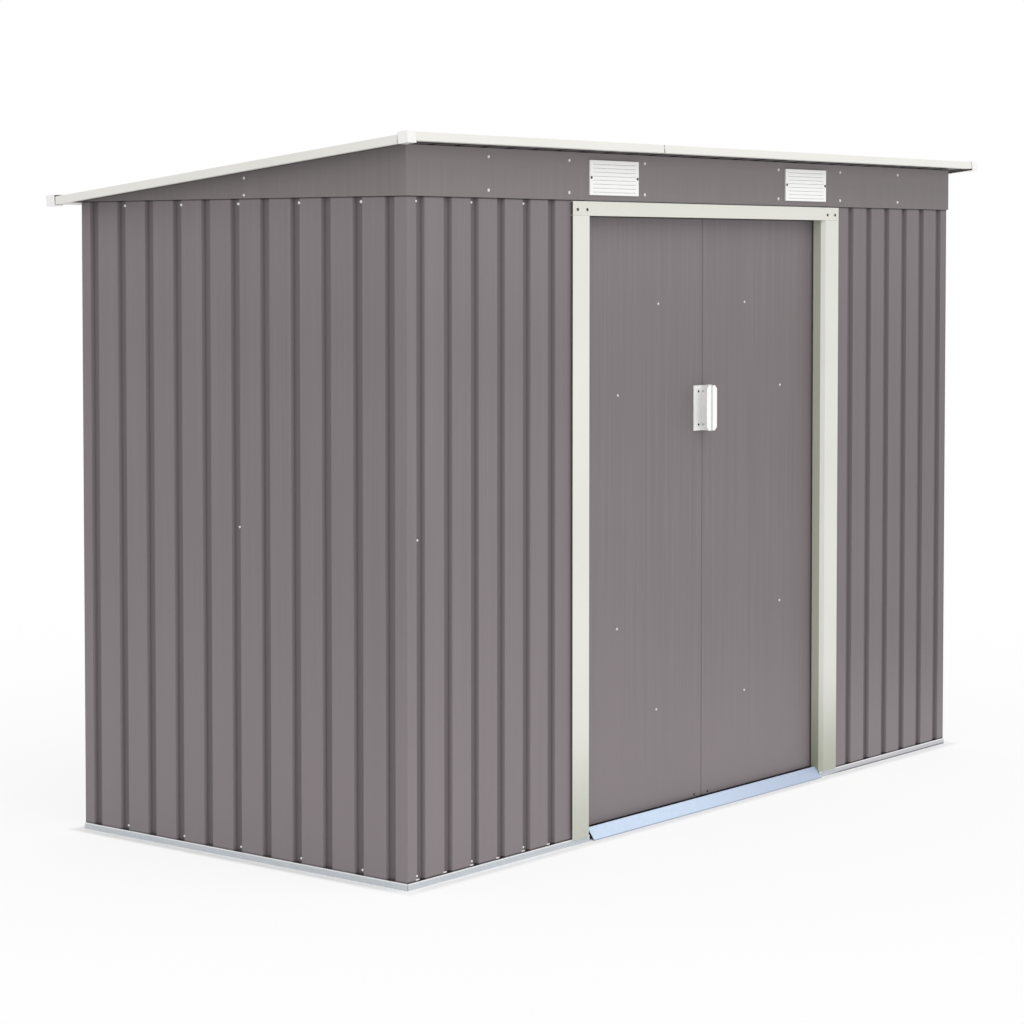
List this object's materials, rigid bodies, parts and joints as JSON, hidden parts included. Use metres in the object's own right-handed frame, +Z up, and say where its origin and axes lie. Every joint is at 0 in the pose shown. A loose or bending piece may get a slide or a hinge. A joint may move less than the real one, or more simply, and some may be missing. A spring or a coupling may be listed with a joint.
{
  "type": "storage shed",
  "caption": "Metal garden storage shed with grooved sheet walls, a flat roof that falls to the back, and a pale framed doorway with sliding doors",
  "frame": {"origin": "on the ground, under the middle of the roof outline", "axes": "+X to the right along the front, +Y from the doors to the back wall, +Z up"},
  "size_m": [2.77, 1.3, 1.8708],
  "materials": {
    "wall_paint": "satin grey-brown coil paint",
    "door_paint": "satin grey-brown coil paint on fine-lined sheet",
    "roof_paint": "satin grey-brown coil paint",
    "trim_paint": "satin cream paint",
    "rail_zinc": "dull zinc-coated steel",
    "sill_zinc": "bright zinc-coated steel",
    "white_plastic": "satin white moulding"
  },
  "bodies": {
    "shed": {"base_rail_front": "rail_zinc", "base_rail_back": "rail_zinc", "base_rail_left": "rail_zinc", "base_rail_right": "rail_zinc", "door_sill": "sill_zinc", "wall_front_left": "wall_paint", "wall_front_right": "wall_paint", "wall_side_left": "wall_paint", "wall_side_right": "wall_paint", "wall_back": "wall_paint", "fascia_front": "wall_paint", "gable_left": "wall_paint", "gable_right": "wall_paint", "roof_sheet_left": "roof_paint", "roof_sheet_middle": "roof_paint", "roof_sheet_right": "roof_paint", "trim_front_left": "trim_paint", "trim_front_right": "trim_paint", "trim_back_left": "trim_paint", "trim_back_right": "trim_paint", "trim_left": "trim_paint", "trim_right": "trim_paint", "cap_front_left": "white_plastic", "cap_front_right": "white_plastic", "cap_back_left": "white_plastic", "cap_back_right": "white_plastic", "jamb_left": "trim_paint", "jamb_right": "trim_paint", "header": "trim_paint", "door_track": "rail_zinc", "vent_left": "white_plastic", "vent_right": "white_plastic"},
    "left_door": {"door_left": "door_paint", "hangers_left": "rail_zinc", "handle_left": "white_plastic"},
    "right_door": {"door_right": "door_paint", "hangers_right": "rail_zinc", "handle_right": "white_plastic"}
  },
  "joints": [
    {"name": "left_door_slide", "type": "slide", "parent": "shed", "child": "left_door", "axis": [-1, 0, 0], "range_m": [0, 0.52]},
    {"name": "right_door_slide", "type": "slide", "parent": "shed", "child": "right_door", "axis": [1, 0, 0], "range_m": [0, 0.52]}
  ]
}
